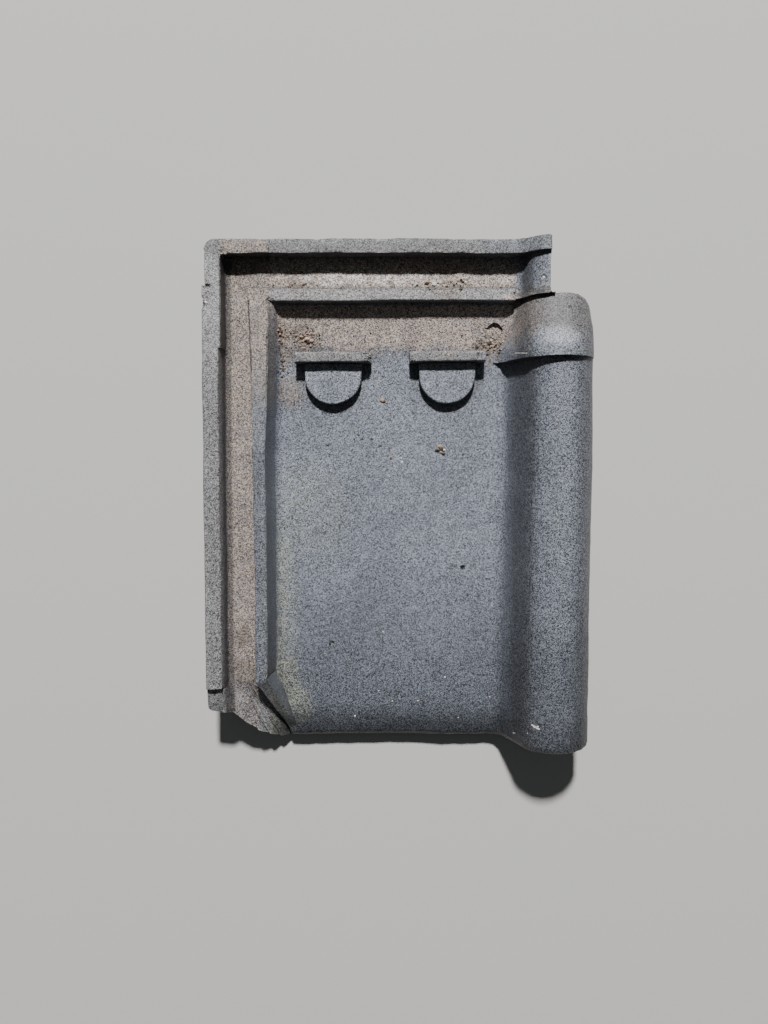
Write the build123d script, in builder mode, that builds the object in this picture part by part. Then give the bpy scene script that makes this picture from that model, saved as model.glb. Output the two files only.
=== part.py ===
"""Interlocking clay roof tile, pressed and fired as one piece, lying upper side up.

X runs across the tile from its left edge, Y runs from the front (eaves) edge to the head, and Z rises
from the upper face of the pan. The finished tile is then tipped to lie as it rests on a level floor.
"""

import os
from dataclasses import dataclass, fields, replace
from math import asin, atan2, cos, degrees, radians, sin, tan

from build123d import *

# Overall size and wall
TILE_WIDTH = 232.0
TILE_LENGTH = 304.0
WALL = 10.0
FOOT_LIP_DEPTH = 2.0
FOOT_LIP_LENGTH = 12.0
FRONT_ROUNDING = 4.0
FRONT_ROUNDING_ANGLES = (0, 30, 60, 90)

# Side interlock at the left
SIDE_RIB_WIDTH = 9.7
SIDE_RIB_TOP = 25.5
SIDE_RIB_FRONT = 37.0
GROOVE_FLOOR = 16.0
GROOVE_BANK = 2.5
INNER_RIB_PLACE = 29.4
INNER_RIB_WIDTH = 8.0
INNER_RIB_TOP = 24.5
PAN_EDGE = 40.0
PAN_FOOT_RADIUS = 5.0
RIB_ROUNDING = 1.0
GROOVE_ROUNDING = 2.0
WALL_LEAN = 4.0

# Roll at the right, a little wider at its front
ROLL_RADIUS = 20.5
ROLL_FRONT_RADIUS = 22.0
ROLL_CROWN = 37.0
ROLL_FILLET = 8.0
FLANK_ANGLE = 66.0
RIM_LEVEL = 21.0

# Where the side interlock starts to come down towards the head, and how wide it is there
FALL_SETBACK = 124.0
MIDDLE_RIB_PLACE = 28.5
MIDDLE_RIB_WIDTH = 8.7

# Collar across the roll, and the dome that runs from it to the head
COLLAR_SETBACK = 69.7
COLLAR_LENGTH = 6.2
COLLAR_RADIUS = 22.5
COLLAR_CROWN = 40.5
COLLAR_PAN_LEVEL = 1.0
SHOULDER_SETBACK = 50.0
SHOULDER_RADIUS = 21.5
SHOULDER_CROWN = 35.5
SHOULDER_PAN_LEVEL = 4.0
DOME_SETBACK = 32.0
DOME_RADIUS = 20.0
DOME_PLACE = 211.0
DOME_CROWN = 27.0
DOME_RIM_LEVEL = 14.0
DOME_CORNER = 14.0

# Head interlock
HEAD_RIB_WIDTH = 8.2
HEAD_GROOVE_WIDTH = 18.4
INNER_HEAD_RIB_WIDTH = 7.5
INNER_HEAD_RIB_END = 186.3
HEAD_FLOOR = 13.0
HEAD_RIB_TOP = 23.5
HEAD_SIDE_RIB_WIDTH = 11.4
HEAD_GROOVE_BANK = 1.0
INNER_HEAD_RIB_TOP = 15.0
HEAD_RIB_PLACE = 25.8
HEAD_RIB_CORNER = 12.2
HEAD_PAN_EDGE = 44.0
HEAD_PAN_LEVEL = 8.0
HEAD_CROWN = 29.5
HEAD_ROLL_RADIUS = 16.0
HEAD_ROLL_PLACE = 207.0
HEAD_NOTCH = 204.3
HEAD_BLOCK_LAP = 0.6
FLARE_START = 187.5
FLARE_END = 200.5
FLARE_RISE = 8.0
CORNER_INSET = 1.8
CORNER_RADIUS = 6.0

# Lugs and bars on the pan
LUG_PLACES = (76.0, 146.2)
LUG_WIDTH = 35.0
LUG_LENGTH = 25.0
LUG_HEIGHT = 6.0
BAR_WIDTH = 46.8
BAR_HEIGHT = 11.5
LUG_ROUNDING = 0.8

# Blind nail dimple
DIMPLE_PLACE = 175.0
DIMPLE_DIAMETER = 9.0
DIMPLE_DEPTH = 4.0

# Hanging nibs on the underside
NIB_WIDTH = 32.0
NIB_LENGTH = 14.0
NIB_DEPTH = 26.0
NIB_SETBACK = 25.0
NIB_TAPER = 6.0

# Chute at the lower left corner, where the inner rib turns aside and runs out in the pan
CHUTE_START = 41.0
CHUTE_TURN = 26.0
CHUTE_OVERRUN = 2.0
CHUTE_WIDTH = 31.0
CHUTE_END_WIDTH = 52.0
CHUTE_BANK = 22.5
CHUTE_BANK_EDGE = 20.2
CHUTE_BANK_EDGE_END = 40.0
CHUTE_SHELF = 17.6
CHUTE_SHELF_END = 24.0
CHUTE_SHELF_END_LEVEL = 12.0
CHUTE_RIDGES = (8.5, 5.5)
CHUTE_RIDGES_END = (13.0, 7.5)
CHUTE_RIDGE_WIDTH = 2.6
CHUTE_RIDGE_START = 0.05
CHUTE_RIDGE_RISE = 0.9
CHUTE_BANK_END = 13.0
CHUTE_CHANNEL_END = -8.5
CHUTE_CREST_END = -6.0
CHUTE_CREST_END_WIDTH = 5.0
CHUTE_UNDER_KNEE = 14.0
CHUTE_SHOULDER = 6.0
CORNER_CUT_BACK = 22.3
CORNER_CUT_START = (15.5, 19.4)
CORNER_CUT_KNEE = (29.8, 5.4)
CORNER_CUT_END = 42.0
CUT_CORNER_RADIUS = 3.0
CUT_BEND_RADIUS = 8.0


@dataclass
class Station:
    """Cross section at one place along the tile: heights above the pan, and places across."""

    y: float
    side_rib: float
    side_rib_width: float
    groove: float
    groove_bank: float
    rib_place: float
    rib_width: float
    rib_top: float
    pan_edge: float
    pan: float
    crown: float
    rim: float
    roll_radius: float
    roll_x: float


INNER_HEAD_RIB_FRONT = TILE_LENGTH - HEAD_RIB_WIDTH - HEAD_GROOVE_WIDTH - INNER_HEAD_RIB_WIDTH
COLLAR_FRONT = TILE_LENGTH - COLLAR_SETBACK
COLLAR_HEAD = COLLAR_FRONT + COLLAR_LENGTH
DOME_END = TILE_LENGTH - DOME_SETBACK
NIB_FRONT = TILE_LENGTH - NIB_SETBACK
FLANK = radians(FLANK_ANGLE)
TURN = radians(CHUTE_TURN)
TOWARDS_HEAD = (0, 1, 0)

FRONT = Station(
    y=0.0,
    side_rib=SIDE_RIB_TOP,
    side_rib_width=SIDE_RIB_WIDTH,
    groove=GROOVE_FLOOR,
    groove_bank=GROOVE_BANK,
    rib_place=INNER_RIB_PLACE,
    rib_width=INNER_RIB_WIDTH,
    rib_top=INNER_RIB_TOP,
    pan_edge=PAN_EDGE,
    pan=0.0,
    crown=ROLL_CROWN,
    rim=RIM_LEVEL,
    roll_radius=ROLL_FRONT_RADIUS,
    roll_x=TILE_WIDTH - ROLL_FRONT_RADIUS,
)
MIDDLE = replace(
    FRONT,
    y=TILE_LENGTH - FALL_SETBACK,
    rib_place=MIDDLE_RIB_PLACE,
    rib_width=MIDDLE_RIB_WIDTH,
    roll_radius=ROLL_RADIUS,
    roll_x=TILE_WIDTH - ROLL_RADIUS,
)
HEAD = Station(
    y=DOME_END,
    side_rib=HEAD_RIB_TOP,
    side_rib_width=HEAD_SIDE_RIB_WIDTH,
    groove=HEAD_FLOOR,
    groove_bank=HEAD_GROOVE_BANK,
    rib_place=HEAD_RIB_PLACE,
    rib_width=HEAD_RIB_CORNER,
    rib_top=INNER_HEAD_RIB_TOP,
    pan_edge=HEAD_PAN_EDGE,
    pan=HEAD_PAN_LEVEL,
    crown=DOME_CROWN,
    rim=DOME_RIM_LEVEL,
    roll_radius=DOME_RADIUS,
    roll_x=DOME_PLACE,
)


def falling(y, **own):
    """A station on the straight line from the middle to the head, with some values of its own."""
    share = (y - MIDDLE.y) / (HEAD.y - MIDDLE.y)
    values = {}
    for field in fields(Station):
        start = getattr(MIDDLE, field.name)
        end = getattr(HEAD, field.name)
        values[field.name] = start + (end - start) * share
    values.update(own)
    return Station(**values)


BEFORE_COLLAR = falling(
    COLLAR_HEAD,
    side_rib=SIDE_RIB_TOP,
    side_rib_width=SIDE_RIB_WIDTH,
    groove_bank=GROOVE_BANK,
    pan=COLLAR_PAN_LEVEL,
    crown=ROLL_CROWN,
    rim=RIM_LEVEL,
    roll_radius=ROLL_RADIUS,
    roll_x=TILE_WIDTH - ROLL_RADIUS,
)
COLLAR = replace(
    BEFORE_COLLAR,
    side_rib_width=HEAD_SIDE_RIB_WIDTH,
    groove_bank=HEAD_GROOVE_BANK,
    crown=COLLAR_CROWN,
    roll_radius=COLLAR_RADIUS,
    roll_x=TILE_WIDTH - COLLAR_RADIUS,
)
SHOULDER = falling(
    TILE_LENGTH - SHOULDER_SETBACK,
    side_rib=SIDE_RIB_TOP,
    side_rib_width=HEAD_SIDE_RIB_WIDTH,
    groove_bank=HEAD_GROOVE_BANK,
    pan=SHOULDER_PAN_LEVEL,
    crown=SHOULDER_CROWN,
    roll_radius=SHOULDER_RADIUS,
    roll_x=TILE_WIDTH - SHOULDER_RADIUS,
)


def across(y):
    """Upright plane across the tile, with X to the right and Z up in the sketch."""
    return Plane(origin=(0, y, 0), x_dir=(1, 0, 0), z_dir=(0, -1, 0))


def roll_foot(at):
    """Where the roll's lower fillet leaves the pan."""
    centre_z = at.crown - at.roll_radius
    flank_low = at.pan + ROLL_FILLET * (1 - cos(FLANK))
    flank_high = centre_z + at.roll_radius * cos(FLANK)
    run = (flank_high - flank_low) / tan(FLANK)
    return at.roll_x - (at.roll_radius + ROLL_FILLET) * sin(FLANK) - run


def draw_roll(at, end_angle, inner_end_angle, inset=0.0):
    """The roll's outer line from the pan over the crown, and its inner line back, a wall apart.

    The inset moves the outer line into the wall.
    """
    foot = (roll_foot(at), at.pan + ROLL_FILLET)
    crown = (at.roll_x, at.crown - at.roll_radius)
    start_angle = 90 + FLANK_ANGLE
    inner_radius = at.roll_radius - WALL
    outer_foot = CenterArc(foot, ROLL_FILLET + inset, -90, FLANK_ANGLE)
    outer_crown = CenterArc(crown, at.roll_radius - inset, start_angle, end_angle - start_angle)
    Line(outer_foot @ 1, outer_crown @ 0)
    inner_foot = CenterArc(foot, ROLL_FILLET + WALL, -90, FLANK_ANGLE)
    inner_crown = CenterArc(crown, inner_radius, start_angle, inner_end_angle - start_angle)
    Line(inner_foot @ 1, inner_crown @ 0)
    Line(outer_crown @ 1, inner_crown @ 1)


def section(at, inset=0.0):
    """Cross section of the main body: side interlock, pan and roll."""
    rim_rise = at.rim - (at.crown - at.roll_radius)
    end_angle = degrees(asin(rim_rise / (at.roll_radius - inset)))
    inner_end_angle = degrees(asin(rim_rise / (at.roll_radius - WALL)))
    foot_x = roll_foot(at)
    upper = [
        (0, at.groove - WALL),
        (0, at.side_rib),
        (at.side_rib_width, at.side_rib),
        (at.side_rib_width + at.groove_bank, at.groove),
        (at.rib_place, at.groove),
        (at.rib_place + RIB_ROUNDING, at.rib_top),
        (at.rib_place + at.rib_width, at.rib_top),
        (at.pan_edge, at.pan - inset),
        (foot_x, at.pan - inset),
    ]
    upper_radii = [
        RIB_ROUNDING,
        RIB_ROUNDING,
        GROOVE_ROUNDING,
        RIB_ROUNDING / 2,
        RIB_ROUNDING,
        RIB_ROUNDING,
        PAN_FOOT_RADIUS,
    ]
    lower = [
        (foot_x, at.pan - WALL),
        (at.pan_edge - WALL, at.pan - WALL),
        (at.pan_edge - WALL - WALL_LEAN, at.groove - WALL),
        (0, at.groove - WALL),
    ]
    with BuildSketch(across(at.y)) as sketch:
        with BuildLine():
            FilletPolyline(*upper, radius=upper_radii)
            draw_roll(at, end_angle, inner_end_angle, inset)
            FilletPolyline(*lower, radius=[WALL_LEAN / 2, WALL_LEAN / 2])
        make_face()
    return sketch.sketch


def front_sections():
    """The first few millimetres, where the upper edge of pan and roll is rounded over."""
    sections = []
    for angle in FRONT_ROUNDING_ANGLES:
        at = replace(FRONT, y=FRONT_ROUNDING * (1 - cos(radians(angle))))
        sections.append(section(at, FRONT_ROUNDING * (1 - sin(radians(angle)))))
    return sections


def main_body():
    """From the front edge to the collar."""
    sections = [*front_sections(), section(MIDDLE), section(BEFORE_COLLAR)]
    return loft(sections, ruled=True, mode=Mode.PRIVATE)


def collar():
    """The raised band across the roll."""
    at = replace(COLLAR, y=COLLAR_FRONT)
    with BuildPart() as band:
        extrude(section(at), amount=COLLAR_LENGTH, dir=TOWARDS_HEAD)
        with Locations((roll_foot(at) + TILE_WIDTH / 2, COLLAR_HEAD, 0)):
            Box(TILE_WIDTH, TILE_WIDTH, TILE_WIDTH, mode=Mode.INTERSECT)
    return band.part


def head_block():
    """The outer part of the head: side rib, level groove floor and the start of the roll's flank."""
    at = replace(
        HEAD, pan=HEAD_FLOOR, crown=HEAD_CROWN, roll_radius=HEAD_ROLL_RADIUS, roll_x=HEAD_ROLL_PLACE
    )
    foot_x = roll_foot(at)
    front = DOME_END - HEAD_BLOCK_LAP
    upper = [
        (0, at.groove - WALL),
        (0, at.side_rib),
        (at.side_rib_width, at.side_rib),
        (at.side_rib_width + at.groove_bank, at.groove),
        (foot_x, at.groove),
    ]
    with BuildPart() as block:
        with BuildSketch(across(front)):
            with BuildLine():
                FilletPolyline(*upper, radius=[RIB_ROUNDING, RIB_ROUNDING, GROOVE_ROUNDING])
                draw_roll(at, 90, 90)
                Line((foot_x, at.groove - WALL), (0, at.groove - WALL))
            make_face()
        extrude(amount=front - TILE_LENGTH)
    return block.part


def bar_across(x_from, x_to, y_from, length, bottom, top):
    """A straight rib lying across the tile, with its upper edges rounded."""
    with BuildPart() as bar:
        with BuildSketch(Plane.XY.offset(bottom)):
            with Locations(((x_from + x_to) / 2, y_from + length / 2)):
                Rectangle(x_to - x_from, length)
        extrude(amount=top - bottom)
        fillet(bar.faces().sort_by(Axis.Z)[-1].edges(), RIB_ROUNDING)
    return bar.part


def lug(x):
    """A D-shaped lug, whose straight side lies along its bar."""
    straight = LUG_LENGTH - LUG_WIDTH / 2
    with BuildPart() as d_shape:
        with BuildSketch(Plane.XY.offset(-WALL / 2)):
            with Locations((x, COLLAR_FRONT - straight)):
                Circle(LUG_WIDTH / 2)
            with Locations((x, COLLAR_FRONT - straight / 2)):
                Rectangle(LUG_WIDTH, straight)
            with Locations((x, COLLAR_FRONT + LUG_WIDTH / 2)):
                Rectangle(LUG_WIDTH, LUG_WIDTH, mode=Mode.SUBTRACT)
        extrude(amount=WALL / 2 + LUG_HEIGHT)
        fillet(d_shape.faces().sort_by(Axis.Z)[-1].edges(), LUG_ROUNDING)
    return d_shape.part


def head_rib():
    """The outer rib along the head edge, which flares up over the start of the roll."""
    outline = [
        (0, HEAD_FLOOR - WALL / 2),
        (0, HEAD_RIB_TOP),
        (FLARE_START, HEAD_RIB_TOP),
        (FLARE_END, HEAD_RIB_TOP + FLARE_RISE),
        (HEAD_NOTCH + WALL, HEAD_RIB_TOP + FLARE_RISE),
        (HEAD_NOTCH + WALL, HEAD_CROWN - WALL / 2),
        (HEAD_NOTCH, HEAD_CROWN - WALL / 2),
        (FLARE_START, HEAD_FLOOR - WALL / 2),
    ]
    with BuildPart() as rib:
        with BuildSketch(across(TILE_LENGTH - HEAD_RIB_WIDTH)):
            with BuildLine():
                FilletPolyline(
                    *outline,
                    radius=[RIB_ROUNDING, RIB_ROUNDING, WALL, WALL, 0, 0, 0, 0],
                    close=True,
                )
            make_face()
        extrude(amount=-HEAD_RIB_WIDTH)
    return rib.part


def nib(x):
    """A hanging nib on the underside, square to the batten at its front and tapered behind."""
    root_z = HEAD_FLOOR - WALL / 2
    tip_z = HEAD_FLOOR - WALL - NIB_DEPTH
    outline = [
        (NIB_FRONT, root_z),
        (NIB_FRONT, tip_z),
        (NIB_FRONT + NIB_LENGTH - NIB_TAPER, tip_z),
        (NIB_FRONT + NIB_LENGTH, root_z),
    ]
    with BuildPart() as hook:
        with BuildSketch(Plane.YZ.offset(x - NIB_WIDTH / 2)):
            with BuildLine():
                Polyline(*outline, close=True)
            make_face()
        extrude(amount=NIB_WIDTH)
        fillet(hook.edges().filter_by(Axis.Z), 2 * RIB_ROUNDING)
    return hook.part


def plan_outline():
    """The tile seen from above: cut corner at the front left, notch and round dome at the head right."""
    rib_head = INNER_HEAD_RIB_FRONT + INNER_HEAD_RIB_WIDTH
    with BuildSketch(Plane.XY.offset(-TILE_WIDTH / 2)) as plan:
        with BuildLine():
            Polyline(
                (CORNER_CUT_END, 0),
                (TILE_WIDTH, 0),
                (TILE_WIDTH, DOME_END - DOME_CORNER),
            )
            RadiusArc(
                (TILE_WIDTH, DOME_END - DOME_CORNER),
                (TILE_WIDTH - DOME_CORNER, DOME_END),
                -DOME_CORNER,
            )
            FilletPolyline(
                (TILE_WIDTH - DOME_CORNER, DOME_END),
                (HEAD_NOTCH, DOME_END),
                (HEAD_NOTCH, TILE_LENGTH),
                (CORNER_INSET, TILE_LENGTH),
                (CORNER_INSET, rib_head),
                (0, rib_head),
                (0, CORNER_CUT_BACK),
                CORNER_CUT_START,
                CORNER_CUT_KNEE,
                (CORNER_CUT_END, 0),
                radius=[
                    RIB_ROUNDING,
                    RIB_ROUNDING,
                    CORNER_RADIUS,
                    0,
                    0,
                    CUT_CORNER_RADIUS,
                    CUT_BEND_RADIUS,
                    CUT_CORNER_RADIUS,
                ],
            )
        make_face()
    return plan.sketch


def mitre_plane():
    """Upright plane through the turn of the inner rib, half way between its two directions."""
    half = TURN / 2
    return Plane(
        origin=(INNER_RIB_PLACE, CHUTE_START, 0),
        x_dir=(cos(half), sin(half), 0),
        z_dir=(sin(half), -cos(half), 0),
    )


def chute_end_plane():
    """Upright plane just before the front edge, where the turned rib's wall reaches it."""
    run = CHUTE_START + CHUTE_OVERRUN
    return Plane(
        origin=(INNER_RIB_PLACE + run * tan(TURN), -CHUTE_OVERRUN, 0),
        x_dir=(1, 0, 0),
        z_dir=(0, -1, 0),
    )


@dataclass
class ChuteStation:
    """Section of the chute: places from the turned rib's foot, and heights above the pan."""

    width: float
    bank: float
    bank_edge: float
    shelf: float
    shelf_level: float
    ridges: tuple
    ridge_rise: float
    channel: float
    crest: float
    crest_width: float
    foot: float
    foot_width: float
    foot_radius: float
    under: float
    under_knee: float


CHUTE_AT_TURN = ChuteStation(
    width=CHUTE_WIDTH,
    bank=CHUTE_BANK,
    bank_edge=CHUTE_BANK_EDGE,
    shelf=CHUTE_SHELF,
    shelf_level=GROOVE_FLOOR,
    ridges=CHUTE_RIDGES,
    ridge_rise=CHUTE_RIDGE_START,
    channel=GROOVE_FLOOR,
    crest=INNER_RIB_TOP,
    crest_width=INNER_RIB_WIDTH,
    foot=0.0,
    foot_width=PAN_EDGE - INNER_RIB_PLACE,
    foot_radius=PAN_FOOT_RADIUS,
    under=GROOVE_FLOOR - WALL,
    under_knee=PAN_EDGE - WALL - WALL_LEAN - INNER_RIB_PLACE,
)
CHUTE_AT_END = ChuteStation(
    width=CHUTE_END_WIDTH,
    bank=CHUTE_BANK_END,
    bank_edge=CHUTE_BANK_EDGE_END,
    shelf=CHUTE_SHELF_END,
    shelf_level=CHUTE_SHELF_END_LEVEL,
    ridges=CHUTE_RIDGES_END,
    ridge_rise=CHUTE_RIDGE_RISE,
    channel=CHUTE_CHANNEL_END,
    crest=CHUTE_CREST_END,
    crest_width=CHUTE_CREST_END_WIDTH,
    foot=CHUTE_CHANNEL_END,
    foot_width=CHUTE_CREST_END_WIDTH + RIB_ROUNDING,
    foot_radius=RIB_ROUNDING,
    under=0.0,
    under_knee=-CHUTE_UNDER_KNEE,
)


def chute_section(plane, at):
    """From the bank over the shelf, two low ridges and the channel to the turned rib."""
    upper = [(-at.width, at.bank), (-at.bank_edge, at.bank), (-at.shelf, at.shelf_level)]
    for place in at.ridges:
        level = at.channel + (at.shelf_level - at.channel) * place / at.shelf
        upper.append((-place - CHUTE_RIDGE_WIDTH / 2, level))
        upper.append((-place, level + at.ridge_rise))
        upper.append((-place + CHUTE_RIDGE_WIDTH / 2, level))
    rib = [
        (0, at.channel),
        (RIB_ROUNDING / 2, at.crest),
        (at.crest_width, at.crest),
        (at.foot_width, at.foot),
        (at.foot_width + CHUTE_SHOULDER, at.foot),
        (at.foot_width + CHUTE_SHOULDER, RIB_ROUNDING - WALL),
    ]
    lower = [
        (at.under_knee + WALL_LEAN, RIB_ROUNDING / 2 - WALL),
        (at.under_knee, at.under),
        (-at.width, at.under),
        upper[0],
    ]
    with BuildSketch(plane) as sketch:
        with BuildLine():
            Polyline(*upper, rib[0])
            FilletPolyline(*rib, radius=[0, 0, at.foot_radius, 0])
            Polyline(rib[-1], *lower)
        make_face()
    return sketch.sketch


def chute():
    """The chute that lets the side groove's water out over the cut corner, and the rib that turns."""
    start = chute_section(mitre_plane(), CHUTE_AT_TURN)
    end = chute_section(chute_end_plane(), CHUTE_AT_END)
    return loft([start, end], ruled=True, mode=Mode.PRIVATE)


def chute_clearance():
    """What the turned rib leaves open: all before it above the pan, and all on its groove side."""
    with BuildPart() as space:
        with BuildSketch(mitre_plane()):
            with Locations((-CHUTE_WIDTH / 2, TILE_WIDTH / 2)):
                Rectangle(3 * CHUTE_WIDTH, TILE_WIDTH)
        extrude(amount=TILE_WIDTH)
        wall_end = chute_end_plane().origin
        with BuildSketch(Plane.XY.offset(-TILE_WIDTH / 2)):
            with BuildLine():
                Polyline(
                    (INNER_RIB_PLACE, CHUTE_START),
                    (wall_end.X, wall_end.Y),
                    (-CHUTE_WIDTH, wall_end.Y),
                    (-CHUTE_WIDTH, CHUTE_START - (INNER_RIB_PLACE + CHUTE_WIDTH) * tan(TURN / 2)),
                    close=True,
                )
            make_face()
        extrude(amount=TILE_WIDTH)
    return space.part


def foot_lip():
    """The drip lip under the pan's front edge, on which the tile rests."""
    run = roll_foot(FRONT) - PAN_EDGE
    with BuildPart() as lip:
        with BuildSketch(Plane.XY.offset(-WALL - FOOT_LIP_DEPTH)):
            with Locations((PAN_EDGE + run / 2, FOOT_LIP_LENGTH / 2)):
                Rectangle(run, FOOT_LIP_LENGTH)
        extrude(amount=FOOT_LIP_DEPTH + WALL / 2)
    return lip.part


def side_rib_clearance():
    """The side rib stops short of the front edge."""
    width = SIDE_RIB_WIDTH + GROOVE_BANK
    with BuildPart() as space:
        with BuildSketch(Plane.XY.offset(CHUTE_BANK)):
            with Locations((0, SIDE_RIB_FRONT / 2)):
                Rectangle(2 * width, SIDE_RIB_FRONT)
        extrude(amount=WALL)
    return space.part


def dimple():
    """The blind nail dimple, which the wall stays closed under."""
    with BuildPart() as space:
        with BuildSketch(Plane.XY.offset(SHOULDER_PAN_LEVEL - DIMPLE_DEPTH)):
            with Locations((DIMPLE_PLACE, SHOULDER.y)):
                Circle(DIMPLE_DIAMETER / 2)
        extrude(amount=DIMPLE_DEPTH + WALL)
    return space.part


inner_head_rib = bar_across(
    HEAD_RIB_PLACE,
    INNER_HEAD_RIB_END,
    INNER_HEAD_RIB_FRONT,
    INNER_HEAD_RIB_WIDTH,
    HEAD_PAN_LEVEL - WALL / 4,
    INNER_HEAD_RIB_TOP,
)
additions = [chute(), collar(), head_block(), head_rib(), inner_head_rib, foot_lip()]
for place in LUG_PLACES:
    bar_start = place - BAR_WIDTH / 2
    additions.append(
        bar_across(
            bar_start, bar_start + BAR_WIDTH, COLLAR_FRONT, COLLAR_LENGTH, -WALL / 2, BAR_HEIGHT
        )
    )
    additions.append(lug(place))
    additions.append(nib(place))
clearances = [chute_clearance(), side_rib_clearance()]
front_body = main_body()
outline = plan_outline()
nail_dimple = dimple()

with BuildPart() as flat_tile:
    add(front_body)
    for space in clearances:
        add(space, mode=Mode.SUBTRACT)
    loft([section(COLLAR), section(SHOULDER), section(HEAD)], ruled=True)
    for piece in additions:
        add(piece)
    add(nail_dimple, mode=Mode.SUBTRACT)
    extrude(outline, amount=TILE_WIDTH, mode=Mode.INTERSECT)

# The tile lies on its drip lip and its two nibs
lip_bottom = -WALL - FOOT_LIP_DEPTH
nib_bottom = HEAD_FLOOR - WALL - NIB_DEPTH
rest_tilt = degrees(atan2(lip_bottom - nib_bottom, NIB_FRONT))
lying = Rot(X=rest_tilt) * flat_tile.part
box = lying.bounding_box()

with BuildPart() as roof_tile:
    add(Pos(-box.center().X, -box.center().Y, -box.min.Z) * lying)

os.makedirs("parts", exist_ok=True)
roof_tile.part.label = "roof_tile"
export_step(roof_tile.part, "parts/roof_tile.step")
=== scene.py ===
"""Clay roof tile, upper side up, seen from straight above."""

import random
from math import radians

import bmesh
import bpy
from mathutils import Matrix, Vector, noise
from mathutils.bvhtree import BVHTree


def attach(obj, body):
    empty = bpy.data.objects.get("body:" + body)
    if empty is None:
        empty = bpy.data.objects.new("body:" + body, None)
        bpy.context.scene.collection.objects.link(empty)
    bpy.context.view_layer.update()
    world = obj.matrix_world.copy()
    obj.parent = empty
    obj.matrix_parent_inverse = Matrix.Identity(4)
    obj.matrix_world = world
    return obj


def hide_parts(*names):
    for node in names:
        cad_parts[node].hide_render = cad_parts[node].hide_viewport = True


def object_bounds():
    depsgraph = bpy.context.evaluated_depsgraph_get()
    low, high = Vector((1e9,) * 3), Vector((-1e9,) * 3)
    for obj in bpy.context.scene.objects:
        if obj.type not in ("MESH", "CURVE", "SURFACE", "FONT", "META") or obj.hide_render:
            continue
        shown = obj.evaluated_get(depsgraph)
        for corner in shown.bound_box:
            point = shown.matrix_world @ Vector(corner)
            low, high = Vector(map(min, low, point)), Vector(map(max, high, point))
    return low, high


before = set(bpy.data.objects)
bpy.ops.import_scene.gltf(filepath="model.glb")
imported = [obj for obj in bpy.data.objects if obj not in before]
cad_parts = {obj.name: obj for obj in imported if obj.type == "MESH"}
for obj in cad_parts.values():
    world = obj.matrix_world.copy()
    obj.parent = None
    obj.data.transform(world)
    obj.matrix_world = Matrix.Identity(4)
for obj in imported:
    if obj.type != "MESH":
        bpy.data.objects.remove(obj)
cad_low, cad_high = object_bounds()

MM = 0.001
# One seed for the crumbs and for the waves, so that each run makes the same tile
SEED = 7
chance = random.Random(SEED)
noise.seed_set(SEED)

# The faces are cut into cells of this length, so that each stretch of an edge can be uneven by itself
CELL = 4.5 * MM
# Waves in the pressed clay: how close they are, and how far they move the surface
SLOW_WAVE = (26.0, 0.6 * MM)
FAST_WAVE = (120.0, 0.2 * MM)
EDGE_WAVE = (420.0, 0.6 * MM)
# Stretches of edge that are worn more than the rest: how close they are, where they start, how much more
WORN_STRETCH = (90.0, 0.1, 1.5)
LEAST_WEAR = 0.25
# A point lies on an edge where the faces round it turn by more than this
EDGE_BEND = 0.25
# How strongly a bend shows in the stored values for worn edges and hollows
BEND_SHARE = 0.9

# Waves in a chip: how close they are, and their share of its rim and of its depth
CHIP_RIM_WAVE = (900.0, 0.45)
CHIP_DEPTH_WAVE = (1500.0, 0.5)
CHIP_DEPTH_SHARE = 0.8
# How finely the faces are cut at a chip and along a soft edge, and in how many rounds at most
FINEST_CELL = 0.45 * MM
CELLS_IN_CHIP = 5
SOFT_CELL = 1.5 * MM
MOST_CUTS = 4
# A soft edge: steps along its line, rounds of smoothing, and how far up a smoothed point has to face
SOFT_STEPS = 6
SOFT_ROUNDS = 12
UPPER_SIDE = 0.15

# Points closer than this are joined, and the surface stays this far inside the solid's box
WELD = 0.001 * MM
INSET = 0.01 * MM
# Faces that turn by less are joined to one, and edges that turn by more are shaded sharp
FLAT_ANGLE = radians(0.2)
SHARP_ANGLE = radians(38)


def mm(x, y, z):
    return Vector((x, y, z)) * MM


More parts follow.
